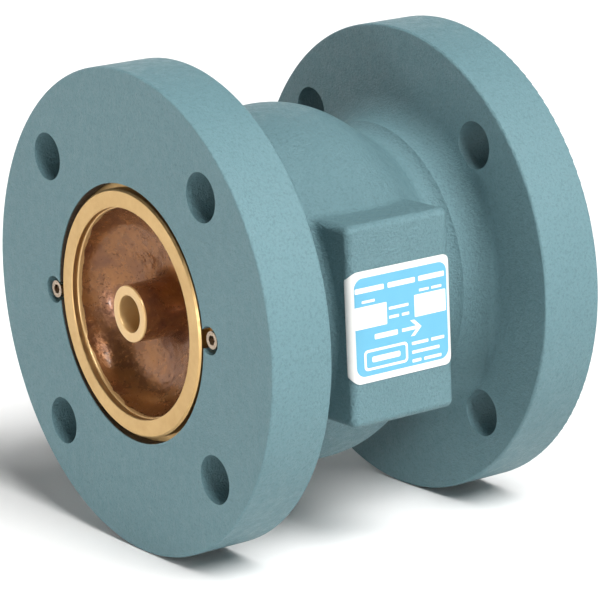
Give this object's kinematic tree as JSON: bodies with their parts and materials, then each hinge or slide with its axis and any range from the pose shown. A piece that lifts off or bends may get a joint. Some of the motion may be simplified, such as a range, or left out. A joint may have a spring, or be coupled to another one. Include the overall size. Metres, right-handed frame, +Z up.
{
  "type": "flanged silent check valve",
  "caption": "Flanged globe-style check valve: painted iron body, bronze seat ring and spring-loaded, centre-guided bronze disc.",
  "frame": {"origin": "centre of the inlet flange face", "axes": "+Y along the flow, from the inlet to the outlet; +Z up; +X towards the pad with the name label"},
  "size_m": [0.1906, 0.154, 0.1906],
  "materials": {
    "painted_iron": "satin paint",
    "bronze": "machined and as-cast",
    "stainless": "bright",
    "fibre": "matte",
    "foil_label": "printed foil"
  },
  "bodies": {
    "valve_body": {"body": "painted_iron", "inlet_flange": "painted_iron", "outlet_flange": "painted_iron", "guide_spider": "painted_iron", "seat_ring": "bronze", "seat_gasket": "fibre", "seat_screws": "stainless", "guide_bushing": "bronze", "spring_washer": "stainless", "disc_spring": "stainless", "name_label": "foil_label"},
    "poppet": {"disc": "bronze", "stem": "stainless", "stem_pin": "stainless"}
  },
  "joints": [
    {"name": "disc_lift", "type": "slide", "parent": "valve_body", "child": "poppet", "axis": [0, 1, 0], "range_m": [0, 0.022], "stiffness_N_per_m": 1000, "springref_m": -0.018, "deforming": ["disc_spring"]}
  ]
}
